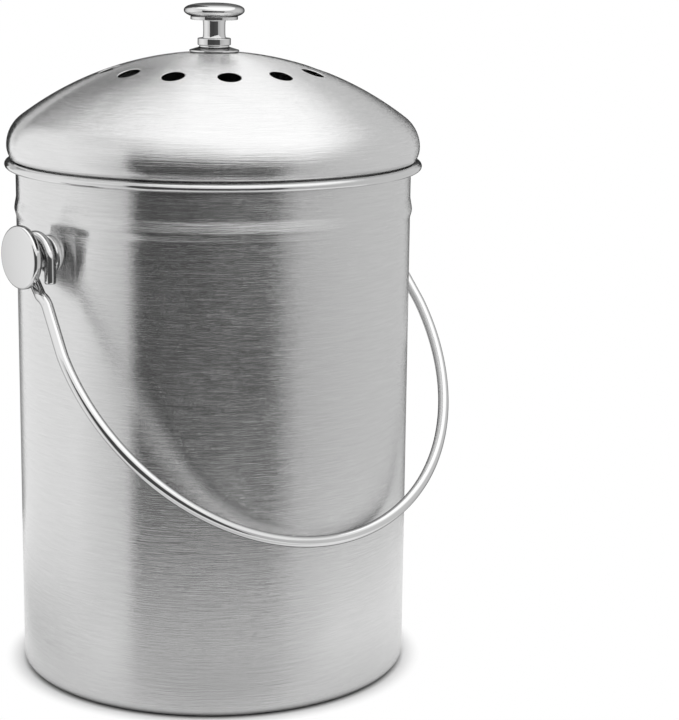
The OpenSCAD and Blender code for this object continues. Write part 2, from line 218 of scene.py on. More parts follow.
def add_rings(bm, rings, closed):
    """Bridges rings of points with quads; a ring of one point is a pole."""
    made = [[bm.verts.new(point) for point in ring] for ring in rings]
    pairs = list(zip(made, made[1:] + made[:1])) if closed else list(zip(made, made[1:]))
    for low, high in pairs:
        count = max(len(low), len(high))
        for j in range(count):
            k = (j + 1) % count
            corners = [low[j % len(low)], low[k % len(low)], high[k % len(high)], high[j % len(high)]]
            unique = list(dict.fromkeys(corners))
            if len(unique) > 2:
                bm.faces.new(unique)


def ring(r, z, segments):
    """A ring of points about Z, or a single point on the axis."""
    if r < 1e-7:
        return [(0, 0, z)]
    angles = [2 * math.pi * j / segments for j in range(segments)]
    return [(r * math.cos(a), r * math.sin(a), z) for a in angles]


def turned(name, outline, segments, closed=False, place=Matrix.Identity(4), gap=0.12 * MM):
    """A piece turned about Z from its outline, then put in its place."""
    bm = bmesh.new()
    add_rings(bm, [ring(r, z, segments) for r, z in supported(outline, gap, closed)], closed)
    bm.transform(place)
    return finished(name, bm)


# ---------------------------------------------------------------- the bin
def tent(t):
    """A tent with a rounded tip: 1 at t = 0, and 0 from t = 1 outwards."""
    if abs(t) >= 1:
        return 0
    full = math.hypot(1, RIDGE_ROUND)
    return (full - math.hypot(t, RIDGE_ROUND)) / (full - RIDGE_ROUND)


def swage(z):
    """How far the wall stands out from its straight line at height z."""
    crest = RIM_TOP - RIDGE_DROP
    slope = RIDGE_RISE if z > crest else RIDGE_FALL
    return RIDGE_OUT * tent((z - crest) / slope)


def bin_outline(t):
    """The sheet's face from the axis over the base and up the wall, moved inwards by t."""
    foot_out = BODY_R - BASE_CORNER_R
    foot_in = foot_out - FOOT_RING_W
    base = rounded([
        (0, BASE_RISE + t, 0),
        (foot_in - BASE_STEP_W, BASE_RISE + t, BASE_STEP_R),
        (foot_in, t, BASE_STEP_R),
        (foot_out, t, 0),
    ])
    corner = arc((foot_out, BASE_CORNER_R), BASE_CORNER_R - t, -84, 0, 14)
    low = RIM_TOP - RIDGE_DROP - RIDGE_FALL
    high = RIM_TOP - RIDGE_DROP + RIDGE_RISE
    steps = 40
    heights = [low + (high - low) * i / steps for i in range(steps + 1)]
    wall = [(BODY_R - t + swage(z), z) for z in heights]
    return supported(base + corner, 1 * MM) + supported(wall, 1 * MM)


def roll_outline(t):
    """The rolled rim from the wall over the top and round to its free edge, moved inwards by t."""
    rise = ROLL_RISE - t
    over = oval(RIM_C, RIM_C[0] - BODY_IN_R - t, rise, 180, 90, 14)
    return over + oval(RIM_C, RIM_D / 2 - t, rise, 86, ROLL_END, 56)


def build_bin():
    outline = bin_outline(0) + roll_outline(SHEET_T) + roll_outline(0)[::-1] + bin_outline(SHEET_T)[::-1]
    return turned("bin_shell", outline, BIN_SEGMENTS, gap=1 * MM)


# ---------------------------------------------------------------- the side posts
def at_post(side):
    """Puts a piece that is turned about Z, with z = distance from the bin's axis, at a post."""
    return Matrix.Translation((0, 0, POST_Z)) @ Matrix.Rotation(math.radians(90 * side), 4, "Y")


def build_post_flange(name, side):
    back = BODY_IN_R
    edge = 0.9 * MM
    outline = rounded([
        (HOLE_R, back, 0),
        (POST_FLANGE_R, back, 0),
        (POST_FLANGE_R, POST_FACE, edge),
        (HOLE_R, POST_FACE, 0),
    ], 8)
    flange = turned(name, outline, FITTING_SEGMENTS, closed=True, place=at_post(side))
    # The back follows the round wall
    for vertex in flange.data.vertices:
        wall_x = math.sqrt((BODY_R + FIT_GAP) ** 2 - vertex.co.y ** 2)
        if abs(vertex.co.x) < wall_x:
            vertex.co.x = side * wall_x
    return flange


def build_post_stem(name, side):
    hole_end = BODY_IN_R + POST_SCREW_LEN
    outline = rounded([
        (0, hole_end, 0),
        (SCREW_R, hole_end, 0),
        (SCREW_R, POST_FACE, 0),
        (POST_STEM_R, POST_FACE, 0.3 * MM),
        (POST_STEM_R, POST_STEM_END, 0.3 * MM),
        (SPIGOT_R, POST_STEM_END, 0),
        (SPIGOT_R, POST_CAP_BACK + SPIGOT_LEN, 0.2 * MM),
        (0, POST_CAP_BACK + SPIGOT_LEN, 0),
    ])
    return turned(name, outline, FITTING_SEGMENTS, place=at_post(side))


def build_post_plate(name, side):
    edge = 0.35 * MM
    outline = rounded([
        (SPIGOT_R + FIT_GAP, POST_STEM_END, 0),
        (POST_PLATE_R, POST_STEM_END, edge),
        (POST_PLATE_R, POST_CAP_BACK, edge),
        (SPIGOT_R + FIT_GAP, POST_CAP_BACK, 0),
    ])
    return turned(name, outline, FITTING_SEGMENTS, closed=True, place=at_post(side))


def build_post_cap(name, side):
    rim_face = POST_CAP_END - POST_CAP_CROWN
    face_r = POST_CAP_R - POST_CAP_EDGE
    crown = (face_r ** 2 + POST_CAP_CROWN ** 2) / (2 * POST_CAP_CROWN)
    half = math.degrees(math.asin(face_r / crown))
    socket_r = SPIGOT_R + FIT_GAP
    socket_end = POST_CAP_BACK + SPIGOT_LEN + FIT_GAP
    outline = [(0, socket_end), (socket_r, socket_end), (socket_r, POST_CAP_BACK)]
    outline += arc((face_r, POST_CAP_BACK + POST_CAP_EDGE), POST_CAP_EDGE, -90, 0, 14)
    outline += arc((face_r, rim_face - POST_CAP_EDGE), POST_CAP_EDGE, 0, 90 - half, 14)
    outline += arc((0, POST_CAP_END - crown), crown, 90 - half, 90, 24)[1:-1] + [(0, POST_CAP_END)]
    return turned(name, outline, FITTING_SEGMENTS, place=at_post(side))


# ---------------------------------------------------------------- the bail
class WirePath:
    """Walks along the wire's centre line: forward is the local Z, and a bend turns it towards X."""

    def __init__(self, start):
        self.at = start
        self.points = [start.translation.copy()]

    def run(self, length, steps=6):
        for i in range(1, steps + 1):
            self.points.append(self.at @ Vector((0, 0, length * i / steps)))
        self.at = self.at @ Matrix.Translation((0, 0, length))

    def bend(self, r, angle, steps=12):
        for i in range(1, steps + 1):
            a = angle * i / steps
            self.points.append(self.at @ Vector((r - r * math.cos(a), 0, r * math.sin(a))))
        about = Matrix.Translation((r, 0, 0)) @ Matrix.Rotation(angle, 4, "Y")
        self.at = self.at @ about @ Matrix.Translation((-r, 0, 0))

    def turn(self, degrees):
        self.at = self.at @ Matrix.Rotation(math.radians(degrees), 4, "Z")

    def jog(self, along, side, r1, r2):
        """Two opposite bends that set the wire over by side within the height along."""
        r = r1 + r2
        straight = math.sqrt(along ** 2 + side ** 2 - 2 * r * side)
        angle = math.atan2(r, straight) - math.atan2(r - side, along)
        self.bend(r1, angle)
        self.run(straight)
        self.turn(180)
        self.bend(r2, angle)
        self.turn(180)


def bail_points():
    """The wire's centre line from the tail of one eye, round the bow, to the tail of the other."""
    exit_angle = math.radians(270) - EYE_EXIT
    exit_dir = Vector((math.cos(EYE_EXIT), -math.sin(EYE_EXIT)))
    leg_line = Vector((math.sin(BAIL_TILT), -math.cos(BAIL_TILT)))
    leave = Vector((EYE_R * math.cos(exit_angle), EYE_Z + EYE_R * math.sin(exit_angle)))
    reach = leave.cross(leg_line) / leg_line.cross(exit_dir)
    foot = leave + reach * exit_dir
    foot_angle = math.pi / 2 - BAIL_TILT - EYE_EXIT
    foot_cut = EYE_BEND_R * math.tan(foot_angle / 2)

    hang = Matrix.Translation((0, 0, POST_Z)) @ Matrix.Rotation(-BAIL_TILT, 4, "X")
    start = hang @ Matrix.Translation((BOW_R, 0, -LEG_LEN)) @ Matrix.Rotation(math.pi, 4, "Z")
    half = WirePath(start)
    half.jog(LEG_LEN - foot.length - foot_cut, LEG_INSET, LEG_BEND_R, EYE_BEND_R)
    half.turn(-90)
    half.bend(EYE_BEND_R, foot_angle)
    half.turn(90)
    half.jog(reach - foot_cut, LEG_OUT, EYE_JOG_R, EYE_JOG_R)
    half.turn(90)
    half.bend(EYE_R, exit_angle, 60)
    half.run(EYE_Z + TAIL_LEN)

    steps = 120
    angles = [math.pi * i / steps for i in range(1, steps)]
    bow = [hang @ Vector((BOW_R * math.cos(a), 0, -LEG_LEN - BOW_R * math.sin(a))) for a in angles]
    mirrored = [Vector((-p.x, p.y, p.z)) for p in half.points]
    return half.points[::-1] + bow + mirrored


def tube_rings(points, radius, sides):
    """Rings of a tube along the points, each turned as little as possible from the last."""
    runs = [(b - a).normalized() for a, b in zip(points[:-1], points[1:])]
    between = [(a + b).normalized() for a, b in zip(runs, runs[1:])]
    tangents = [runs[0]] + between + [runs[-1]]
    normal = tangents[0].orthogonal().normalized()
    rings = []
    for point, tangent, before in zip(points, tangents, [tangents[0]] + tangents):
        normal = before.rotation_difference(tangent) @ normal
        across = tangent.cross(normal)
        angles = [2 * math.pi * k / sides for k in range(sides)]
        rings.append([point + radius * (normal * math.cos(a) + across * math.sin(a)) for a in angles])
    return rings


def build_bail():
    points = bail_points()
    rings = tube_rings(points, WIRE_R, 28)
    for _ in range(2):
        # Closes the first end with a chamfered face, then turns the wire round for the other end
        tip = points[0]
        inward = (points[1] - tip).normalized()
        face = [tip + (p - tip) * (1 - WIRE_CHAMFER / WIRE_R) for p in rings[0]]
        shoulder = [p + inward * WIRE_CHAMFER for p in rings[0]]
        rings = ([[tip], face, shoulder] + rings[1:])[::-1]
        points = points[::-1]
    bm = bmesh.new()
    add_rings(bm, rings, False)
    return finished("bail_wire", bm)


# ---------------------------------------------------------------- the lid
def crown_height(r):
    """Height of the dome's outer face at distance r from the axis."""
    return CROWN_C + math.sqrt(CROWN_R ** 2 - r ** 2)


def crown_point(r, angle, depth):
    """A point on the crown, which is part of a ball, at a depth below its outer face."""
    scale = (CROWN_R - depth) / CROWN_R
    z = CROWN_C + (crown_height(r) - CROWN_C) * scale
    return (r * scale * math.cos(angle), r * scale * math.sin(angle), z)


def crown_line(inner, outer, depth, steps):
    """Outline of the crown between two distances from the axis."""
    radii = [inner + (outer - inner) * i / steps for i in range(steps + 1)]
    scale = (CROWN_R - depth) / CROWN_R
    return [(r * scale, CROWN_C + (crown_height(r) - CROWN_C) * scale) for r in radii]


def skirt_line(depth):
    """Outline of the dome from the crown's edge over the shoulder to the lip."""
    curl = math.radians(CURL_ANGLE)
    curl_end = (DOME_R - CURL_R * (1 - math.cos(curl)), WIDE_Z - CURL_R * math.sin(curl))
    roll_r = (curl_end[1] - LIP_Z) / (1 - math.sin(curl))
    lip_r = curl_end[0] - roll_r * math.cos(curl)
    points = arc((SHOULDER_C_R, WIDE_Z), SHOULDER_R - depth, 88 - CROWN_ANGLE, 0, 30)
    points += arc((DOME_R - CURL_R, WIDE_Z), CURL_R - depth, -3, -CURL_ANGLE, 10)
    points += arc((lip_r, LIP_Z + roll_r), roll_r - depth, -CURL_ANGLE - 8, -90, 10)
    return points + [(lip_r - LIP_W, LIP_Z + depth)]


def vent_point(vent, around, distance, depth):
    """A point of the crown at a distance from a vent's centre, in the direction around."""
    tilt = math.asin(VENT_CIRCLE_R / CROWN_R)
    x = VENT_CIRCLE_R + distance * math.cos(around) * math.cos(tilt)
    y = distance * math.sin(around)
    return crown_point(math.hypot(x, y), vent + math.atan2(y, x), depth)


def add_vent(bm, vent, inner, outer, per_sector):
    """One sector of the vents' band on both faces of the sheet, with the rounded hole between them."""
    half = math.pi / VENT_COUNT
    side_steps = 10
    rim = [(outer, half * (2 * j / per_sector - 1)) for j in range(per_sector)]
    rim += [(outer + (inner - outer) * j / side_steps, half) for j in range(side_steps)]
    rim += [(inner, half * (1 - 2 * j / per_sector)) for j in range(per_sector)]
    rim += [(inner + (outer - inner) * j / side_steps, -half) for j in range(side_steps)]
    edge = VENT_EDGE_R
    around = [math.atan2(r * math.sin(a), r * math.cos(a) - VENT_CIRCLE_R) for r, a in rim]
    steps = 9

    def face_rings(depth):
        rings = []
        for k in range(steps + 1):
            share = (k / steps) ** 1.5
            ring_points = []
            for (r, a), direction in zip(rim, around):
                start = Vector(vent_point(vent, direction, VENT_R + edge, depth))
                end = Vector(crown_point(r, vent + a, depth))
                flat = start.lerp(end, share)
                plan = math.hypot(flat.x, flat.y) * CROWN_R / (CROWN_R - depth)
                ring_points.append(crown_point(plan, math.atan2(flat.y, flat.x), depth))
            rings.append(ring_points)
        return rings

    def hole_ring(distance, depth):
        return [vent_point(vent, direction, VENT_R + distance, depth) for direction in around]

    turns = [math.radians(a) for a in (20, 45, 70)]
    top = [hole_ring(edge * (1 - math.sin(a)), edge * (1 - math.cos(a))) for a in turns]
    low = [hole_ring(edge * (1 - math.sin(a)), DOME_T - edge * (1 - math.cos(a))) for a in reversed(turns)]
    bore = [hole_ring(0, edge), hole_ring(0, DOME_T - edge)]
    add_rings(bm, face_rings(0)[::-1] + top + bore + low + face_rings(DOME_T), False)


def build_dome():
    inner, outer = VENT_CIRCLE_R - VENT_BAND, VENT_CIRCLE_R + VENT_BAND
    edge_r = CROWN_R * math.sin(math.radians(CROWN_ANGLE))
    bm = bmesh.new()
    middle = crown_line(inner, HOLE_R, 0, 24) + crown_line(HOLE_R, inner, DOME_T, 24)
    skirt = crown_line(outer, edge_r, 0, 20) + skirt_line(0)
    skirt += (crown_line(outer, edge_r, DOME_T, 20) + skirt_line(DOME_T))[::-1]
    for outline in (middle, skirt):
        add_rings(bm, [ring(r, z, BIN_SEGMENTS) for r, z in outline], False)
    for i in range(VENT_COUNT):
        add_vent(bm, 2 * math.pi * i / VENT_COUNT, inner, outer, BIN_SEGMENTS // VENT_COUNT)
    return finished("lid_shell", bm)


def build_pan():
    hem_c = (PAN_OPENING_R + HEM_R, PAN_LOW + HEM_R)
    lip_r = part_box("lid_pan")[1].x
    flange_low = PAN_HIGH - PAN_T
    corner = (PAN_R - PAN_CORNER_R, PAN_LOW + PAN_CORNER_R)
    outline = arc(hem_c, HEM_R, 120, 360 - 90, 16)
    outline += arc(corner, PAN_CORNER_R, -90, 0, 12)
    outline += rounded([
        (PAN_R, PAN_LOW, 0),
        (PAN_R, flange_low, PAN_FLANGE_R - PAN_T),
        (lip_r, flange_low, 0),
        (lip_r, PAN_HIGH, 0),
        (PAN_R - PAN_T, PAN_HIGH, PAN_FLANGE_R),
        (PAN_R - PAN_T, PAN_LOW, 0),
    ])[1:-1]
    outline += arc(corner, PAN_CORNER_R - PAN_T, 0, -90, 12)
    outline += [(hem_c[0] + 1.4 * HEM_R, PAN_LOW + PAN_T)]
    outline += arc(hem_c, HEM_R, -10, 110, 12)
    return turned("lid_pan_shell", outline, BIN_SEGMENTS, closed=True, gap=0.5 * MM)


def build_filter(name, node, edge, grain, lumps):
    """A soft round pad with rounded edges; its faces have dents as deep as the grain, lumps to a metre."""
    low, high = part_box(node)
    radius = high.x
    rings = 70
    radii = [radius * (i / rings) for i in range(rings + 1)]
    top = [(r, high.z) for r in radii if r < radius - edge]
    side = arc((radius - edge, high.z - edge), edge, 90, 0, 6)
    under = arc((radius - edge, low.z + edge), edge, 0, -90, 6)
    bottom = [(r, low.z) for r in radii[::-1] if r < radius - edge]
    bm = bmesh.new()
    add_rings(bm, [ring(r, z, 240) for r, z in top + side + under + bottom], False)
    pad = finished(name, bm)
    middle = (high.z + low.z) / 2
    for vertex in pad.data.vertices:
        dent = abs(noise.noise(vertex.co * lumps)) * grain
        inward = -1 if vertex.co.z > middle else 1
        vertex.co.z += inward * (dent + 0.1 * grain)
        squeeze = 1 - 0.4 * dent / radius
        vertex.co.x *= squeeze
        vertex.co.y *= squeeze
    return pad


# ---------------------------------------------------------------- the lid knob
def build_knob_flange():
    high = KNOB_BOXES["flange"][1]
    radius = high.x
    edge_z = crown_height(radius)
    steps = 10
    groove_h = 0.4 * MM
    groove_r = radius - 0.9 * MM
    radii = [HOLE_R + (groove_r - HOLE_R) * i / steps for i in range(steps + 1)]
    outline = [(r, crown_height(r) + FIT_GAP) for r in radii]
    outline += rounded([
        (groove_r, crown_height(groove_r) + FIT_GAP, 0),
        (groove_r, edge_z + groove_h, 0),
        (radius, edge_z + groove_h, 0.1 * MM),
        (radius, edge_z + KNOB_EDGE_T, 0.2 * MM),
        (KNOB_NECK_R, high.z - KNOB_NECK_H, 0.5 * MM),
        (KNOB_NECK_R, high.z, 0.15 * MM),
        (HOLE_R, high.z, 0),
    ])[1:]
    return turned("knob_base", outline, FITTING_SEGMENTS, closed=True, gap=0.08 * MM)


def build_knob_stem():
    high = KNOB_BOXES["stem"][1]
    foot = KNOB_BOXES["flange"][1].z
    collar_r = high.x
    plate_z = KNOB_BOXES["plate"][0].z
    hole_end = foot + KNOB_SCREW_LEN
    waist_z = foot + KNOB_COLLAR_H
    outline = rounded([
        (0, hole_end, 0),
        (SCREW_R, hole_end, 0),
        (SCREW_R, foot, 0),
        (collar_r, foot, 0.4 * MM),
        (collar_r, waist_z, 0.4 * MM),
        (KNOB_WAIST_R + KNOB_FLARE, waist_z, 0),
    ])
    steps = 20
    for i in range(1, steps + 1):
        u = 2 * i / steps - 1
        outline.append((KNOB_WAIST_R + KNOB_FLARE * u ** 4, waist_z + (plate_z - waist_z) * i / steps))
    outline += rounded([(SPIGOT_R, plate_z, 0), (SPIGOT_R, high.z, 0.2 * MM), (0, high.z, 0)])
    return turned("knob_post", outline, FITTING_SEGMENTS, gap=0.1 * MM)


def build_knob_plate():
    low, high = KNOB_BOXES["plate"]
    edge = 0.25 * MM
    outline = rounded([
        (SPIGOT_R + FIT_GAP, low.z, 0),
        (high.x, low.z, edge),
        (high.x, high.z, edge),
        (SPIGOT_R + FIT_GAP, high.z, 0),
    ])
    return turned("knob_under_plate", outline, FITTING_SEGMENTS, closed=True)


def build_knob_cap():
    low, high = KNOB_BOXES["cap"]
    radius = high.x
    wide = low.z + KNOB_CAP_FOOT
    top = high.z - wide
    under = KNOB_CAP_FOOT / math.sin(math.radians(KNOB_FOOT_ANGLE))
    socket_r = SPIGOT_R + FIT_GAP
    socket_end = low.z + SPIGOT_LEN + FIT_GAP
    outline = [(0, socket_end), (socket_r, socket_end), (socket_r, low.z)]
    outline += oval((0, wide), radius, under, -KNOB_FOOT_ANGLE, 0, 24)
    steps = 41
    for i in range(1, steps):
        a = math.radians(90 * i / steps)
        r = radius * math.cos(a) ** (2 / KNOB_BLUNT)
        outline.append((r, wide + top * math.sin(a) ** (2 / KNOB_BLUNT)))
    outline.append((0, high.z))
    return turned("knob_head", outline, FITTING_SEGMENTS, gap=0.1 * MM)


# ---------------------------------------------------------------- node helpers
def fill_inputs(tree, node, inputs):
    """Sets each input to its value, or links it to another node's output."""
    for key, value in inputs.items():
        if isinstance(value, bpy.types.NodeSocket):
            tree.links.new(value, node.inputs[key])
        else:
            node.inputs[key].default_value = value


def add(tree, kind, inputs=None, **settings):
    """A new shader node with its settings; each input is a value or another node's output."""
    made = tree.nodes.new("ShaderNode" + kind)
    for key, value in settings.items():
        setattr(made, key, value)
    fill_inputs(tree, made, inputs or {})
    return made


def math_node(tree, operation, *values):
    """Calculates with values or other nodes' outputs."""
    return add(tree, "Math", dict(enumerate(values)), operation=operation).outputs[0]


def vector_node(tree, operation, *values, output="Vector"):
    """Calculates with vectors."""
    node = add(tree, "VectorMath", dict(enumerate(values)), operation=operation)
    return node.outputs[output]


def map_node(tree, value, from_low, from_high, to_low, to_high, smooth=False):
    """Carries a value over from one range to another, and stops at its ends."""
    kind = "SMOOTHSTEP" if smooth else "LINEAR"
    names = ("Value", "From Min", "From Max", "To Min", "To Max")
    inputs = dict(zip(names, (value, from_low, from_high, to_low, to_high)))
    return add(tree, "MapRange", inputs, interpolation_type=kind).outputs[0]


def blend_tones(tree, share, dark, light):
    """A grey or colour between dark and light, by the share."""
    tone = add(tree, "Mix", {0: share}, data_type="RGBA")
    tone.inputs[6].default_value = (*dark, 1)
    tone.inputs[7].default_value = (*light, 1)
    return tone.outputs[2]


def noise_node(tree, place, scale, detail, roughness=0.5):
    """A cloudy pattern from 0 to 1."""
    return add(tree, "TexNoise", {
        "Vector": place, "Scale": scale, "Detail": detail, "Roughness": roughness}).outputs[0]


def bump_node(tree, shader, height, strength, distance):
    """Gives the shader the relief of a pattern."""
    bump = add(tree, "Bump", {"Height": height, "Strength": strength, "Distance": distance})
    tree.links.new(bump.outputs[0], shader.inputs["Normal"])


def new_group(name, inputs, outputs):
    """A shader node group with number inputs, as {name: default}, and outputs, as {name: kind};
    returns it with the sockets at its two ends."""
    group = bpy.data.node_groups.new(name, "ShaderNodeTree")
    for socket, default in inputs.items():
        made = group.interface.new_socket(socket, in_out="INPUT", socket_type="NodeSocketFloat")
        made.default_value = default
    for socket, kind in outputs.items():
        group.interface.new_socket(socket, in_out="OUTPUT", socket_type="NodeSocket" + kind)
    start = group.nodes.new("NodeGroupInput")
    end = group.nodes.new("NodeGroupOutput")
    return group, start.outputs, end.inputs


def use_group(tree, group, **inputs):
    """Places a node group; an input's name is written with _ for its spaces."""
    node = add(tree, "Group", node_tree=group)
    fill_inputs(tree, node, {key.replace("_", " "): value for key, value in inputs.items()})
    return node.outputs


def new_material(name):
    """A material with one Principled shader, ready for its inputs."""
    material = bpy.data.materials.new(name)
    material.use_nodes = True
    tree = material.node_tree
    tree.nodes.clear()
    shader = add(tree, "BsdfPrincipled")
    output = add(tree, "OutputMaterial")
    tree.links.new(shader.outputs[0], output.inputs["Surface"])
    return material, tree, shader


# ---------------------------------------------------------------- effects shared by the materials
def make_round_coords():
    """Coordinates for marks that run round the Z axis: long around it, fine across."""
    group, start, end = new_group(
        "Round coordinates", {"Around": 4.0, "Across": 1000.0, "Shift": 0.0}, {"Vector": "Vector"})
    place = add(group, "TexCoord").outputs["Object"]
    flat = vector_node(group, "MULTIPLY", place, (1, 1, 0))
    reach = vector_node(group, "LENGTH", flat, output="Value")
    direction = vector_node(group, "NORMALIZE", flat)
    around = add(group, "VectorMath", {0: direction, "Scale": start["Around"]}, operation="SCALE").outputs[0]
    height = add(group, "SeparateXYZ", {0: place}).outputs["Z"]
    along = math_node(group, "SUBTRACT", reach, height)
    across = math_node(group, "MULTIPLY_ADD", along, start["Across"], start["Shift"])
    lift = add(group, "CombineXYZ", {"Z": across}).outputs[0]
    group.links.new(vector_node(group, "ADD", around, lift), end["Vector"])
    return group


def make_brush_lines(round_coords):
    """Fine brushed lines round the Z axis, broader streaks between them, and short grain."""
    group, start, end = new_group(
        "Brush lines",
        {"Fine": 2400.0, "Broad": 600.0, "Length": 24.0},
        {"Lines": "Float", "Streaks": "Float", "Grain": "Float"},
    )
    fine = use_group(group, round_coords, Around=start["Length"], Across=start["Fine"])["Vector"]
    broad = use_group(group, round_coords, Around=5.0, Across=start["Broad"], Shift=17.0)["Vector"]
    short = use_group(group, round_coords, Around=320.0, Across=start["Fine"], Shift=41.0)["Vector"]
    group.links.new(noise_node(group, fine, 1.0, 3.0, 0.6), end["Lines"])
    group.links.new(noise_node(group, broad, 1.0, 4.0, 0.7), end["Streaks"])
    group.links.new(noise_node(group, short, 1.4, 2.0, 0.7), end["Grain"])
    return group


def make_handling_marks():
    """Soft cloudy smudges and a few fine random scratches from handling."""
    group, start, end = new_group(
        "Handling marks",
        {"Cloud size": 28.0, "Scratch size": 90.0},
        {"Clouds": "Float", "Scratches": "Float"},
    )
    place = add(group, "TexCoord").outputs["Object"]
    clouds = noise_node(group, place, start["Cloud size"], 4.0)
    wander = add(group, "TexNoise", {"Vector": place, "Scale": 30.0, "Detail": 1.0}).outputs["Color"]
    bent = vector_node(group, "MULTIPLY_ADD", wander, (0.05, 0.05, 0.05), place)
    stretched = vector_node(group, "MULTIPLY", bent, (1.0, 0.15, 0.6))
    grid = {"Vector": stretched, "Scale": start["Scratch size"]}
    cells = add(group, "TexVoronoi", grid, feature="DISTANCE_TO_EDGE").outputs["Distance"]
    scratches = map_node(group, cells, 0.0, 0.012, 1.0, 0.0)
    group.links.new(clouds, end["Clouds"])
    group.links.new(scratches, end["Scratches"])
    return group


# ---------------------------------------------------------------- materials
# Painted shade at the foot of the wall: the heights over which the wall's colour darkens, and its darkest
# share, in place of the shaded floor that the wall mirrors
FOOT_SHADE_SPAN = (2 * MM, 34 * MM)
FOOT_SHADE_TONE = 0.81
POLISH_Z = RIM_C[1] - ROLL_RISE - 0.5 * MM
POLISH_FADE = 0.6 * MM
EDGE_TINT = 0.12


def worn_rim_and_shaded_foot(tree, colour, roughness, relief):
    """Rubs the brushing down to a shine on the rolled rim, and paints shade on the foot of the wall: its
    colour darkens towards the bottom, in place of the shaded floor that it mirrors.
    """
    height = add(tree, "SeparateXYZ", {0: add(tree, "TexCoord").outputs["Object"]}).outputs["Z"]
    brushed = map_node(tree, height, POLISH_Z, POLISH_Z + POLISH_FADE, 1.0, 0.35)
    smoother = map_node(tree, brushed, 0.35, 1.0, 0.6, 1.0)
    # Painted shade: the wall's colour darkens towards its foot
    foot_shade = map_node(tree, height, *FOOT_SHADE_SPAN, FOOT_SHADE_TONE, 1.0, smooth=True)
    toned = add(tree, "Mix", {0: 1.0, 6: colour, 7: foot_shade}, data_type="RGBA", blend_type="MULTIPLY")
    rough = math_node(tree, "MULTIPLY", roughness, smoother)
    return toned.outputs[2], rough, math_node(tree, "MULTIPLY", relief, brushed)


def brushed_steel(name, grey, rough, lines_depth, fine, length, wall=False):
    """Sheet that is brushed round the axis: light spreads across the brush lines."""
    material, tree, shader = new_material(name)
    brush = use_group(tree, BRUSH_LINES, Fine=fine, Broad=fine / 4, Length=length)
    marks = use_group(tree, HANDLING_MARKS, Cloud_size=22.0, Scratch_size=60.0)
    streaks = math_node(tree, "MULTIPLY", brush["Streaks"], 0.4)
    texture = math_node(tree, "MULTIPLY_ADD", brush["Lines"], 0.6, streaks)
    share = map_node(tree, texture, 0.3, 0.7, 0.0, 1.0)
    colour = blend_tones(tree, share, (grey * 0.94,) * 3, (grey * 1.06,) * 3)
    worn = map_node(tree, marks["Clouds"], 0.35, 0.7, rough - 0.01, rough + 0.02)
    lines = math_node(tree, "MULTIPLY", brush["Lines"], 0.25)
    mixed = math_node(tree, "MULTIPLY_ADD", brush["Grain"], 0.75, lines)
    spread = map_node(tree, mixed, 0.38, 0.62, -0.075, 0.075)
    roughness = math_node(tree, "ADD", worn, spread)
    relief = math_node(tree, "MULTIPLY_ADD", brush["Streaks"], 0.7, brush["Lines"])
    if wall:
        colour, roughness, relief = worn_rim_and_shaded_foot(tree, colour, roughness, relief)
    tree.links.new(colour, shader.inputs["Base Color"])
    tree.links.new(roughness, shader.inputs["Roughness"])
    shader.inputs["Metallic"].default_value = 1.0
    shader.inputs["Anisotropic"].default_value = 1.0
    shader.inputs["Anisotropic Rotation"].default_value = 0.25
    tangent = add(tree, "Tangent", direction_type="RADIAL", axis="Z").outputs[0]
    tree.links.new(tangent, shader.inputs["Tangent"])
    bump_node(tree, shader, relief, 1.0, lines_depth)
    return material


def polished_steel(name, grey, rough):
    """Buffed fittings: a clear mirror with faint hairlines and a slight waviness."""
    material, tree, shader = new_material(name)
    marks = use_group(tree, HANDLING_MARKS, Cloud_size=60.0, Scratch_size=160.0)
    colour = blend_tones(tree, marks["Clouds"], (grey * 0.96,) * 3, (grey,) * 3)
    haze = map_node(tree, marks["Clouds"], 0.35, 0.7, rough, rough + 0.04)
    roughness = math_node(tree, "MULTIPLY_ADD", marks["Scratches"], 0.08, haze)
    wave = math_node(tree, "MULTIPLY_ADD", marks["Scratches"], -0.1, marks["Clouds"])
    tree.links.new(colour, shader.inputs["Base Color"])
    tree.links.new(roughness, shader.inputs["Roughness"])
    shader.inputs["Metallic"].default_value = 1.0
    shader.inputs["Specular Tint"].default_value = (EDGE_TINT,) * 3 + (1,)
    bump_node(tree, shader, wave, 0.5, 0.00004)
    return material


def machined_steel(name, grey, rough):
    """Plain screws and washers with fine turning marks."""
    material, tree, shader = new_material(name)
    place = add(tree, "TexCoord").outputs["Object"]
    marks = use_group(tree, HANDLING_MARKS, Cloud_size=300.0, Scratch_size=400.0)
    grain = noise_node(tree, place, 5000.0, 2.0)
    colour = blend_tones(tree, marks["Clouds"], (grey * 0.85,) * 3, (grey,) * 3)
    roughness = map_node(tree, grain, 0.3, 0.7, rough - 0.06, rough + 0.08)
    tree.links.new(colour, shader.inputs["Base Color"])
    tree.links.new(roughness, shader.inputs["Roughness"])
    shader.inputs["Metallic"].default_value = 1.0
    bump_node(tree, shader, grain, 0.4, 0.00002)
    return material


def open_foam(name):
    """Black filter foam: a fine open net of cells."""
    material, tree, shader = new_material(name)
    place = add(tree, "TexCoord").outputs["Object"]
    cells = add(tree, "TexVoronoi", {"Vector": place, "Scale": 1100.0}, feature="DISTANCE_TO_EDGE")
    net = map_node(tree, cells.outputs["Distance"], 0.02, 0.25, 1.0, 0.0, smooth=True)
    clouds = noise_node(tree, place, 60.0, 5.0)
    colour = blend_tones(tree, net, (0.006, 0.006, 0.0065), (0.03, 0.03, 0.031))
    tree.links.new(colour, shader.inputs["Base Color"])
    tree.links.new(map_node(tree, clouds, 0.3, 0.7, 0.8, 0.95), shader.inputs["Roughness"])
    shader.inputs["Specular IOR Level"].default_value = 0.25
    shader.inputs["Sheen Weight"].default_value = 0.15
    shader.inputs["Sheen Roughness"].default_value = 0.6
    bump_node(tree, shader, math_node(tree, "MULTIPLY_ADD", clouds, 0.6, net), 1.0, 0.0003)
    return material


